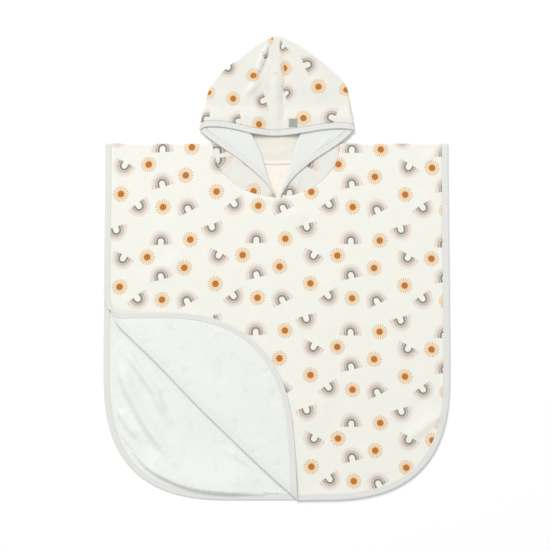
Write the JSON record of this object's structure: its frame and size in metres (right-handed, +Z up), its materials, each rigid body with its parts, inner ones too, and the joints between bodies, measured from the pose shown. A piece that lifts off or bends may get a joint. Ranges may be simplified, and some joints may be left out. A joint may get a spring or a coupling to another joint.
{
  "type": "hooded bath poncho",
  "caption": "Child's towelling poncho with a pointed hood, bound edges and open sides, laid flat face up with a lower front corner turned back.",
  "frame": {"origin": "centre of the laid-out garment, on the surface that it lies on", "axes": "+Y from the hem to the tip of the hood, +X to the right of the garment as seen from above, +Z up"},
  "size_m": [0.6052, 0.8119, 0.0121],
  "materials": {
    "towelling": "matt cotton towelling, off-white with a small print outside and plain white inside",
    "binding": "matt white ribbed binding",
    "tape": "matt white twill tape",
    "label": "plain grey woven ribbon, blank"
  },
  "bodies": {
    "root": {"back_panel": "towelling", "front_panel": "towelling", "hood": "towelling", "back_binding": "binding", "front_binding": "binding", "hood_binding": "binding", "neck_tape": "tape", "label": "label"}
  },
  "joints": []
}
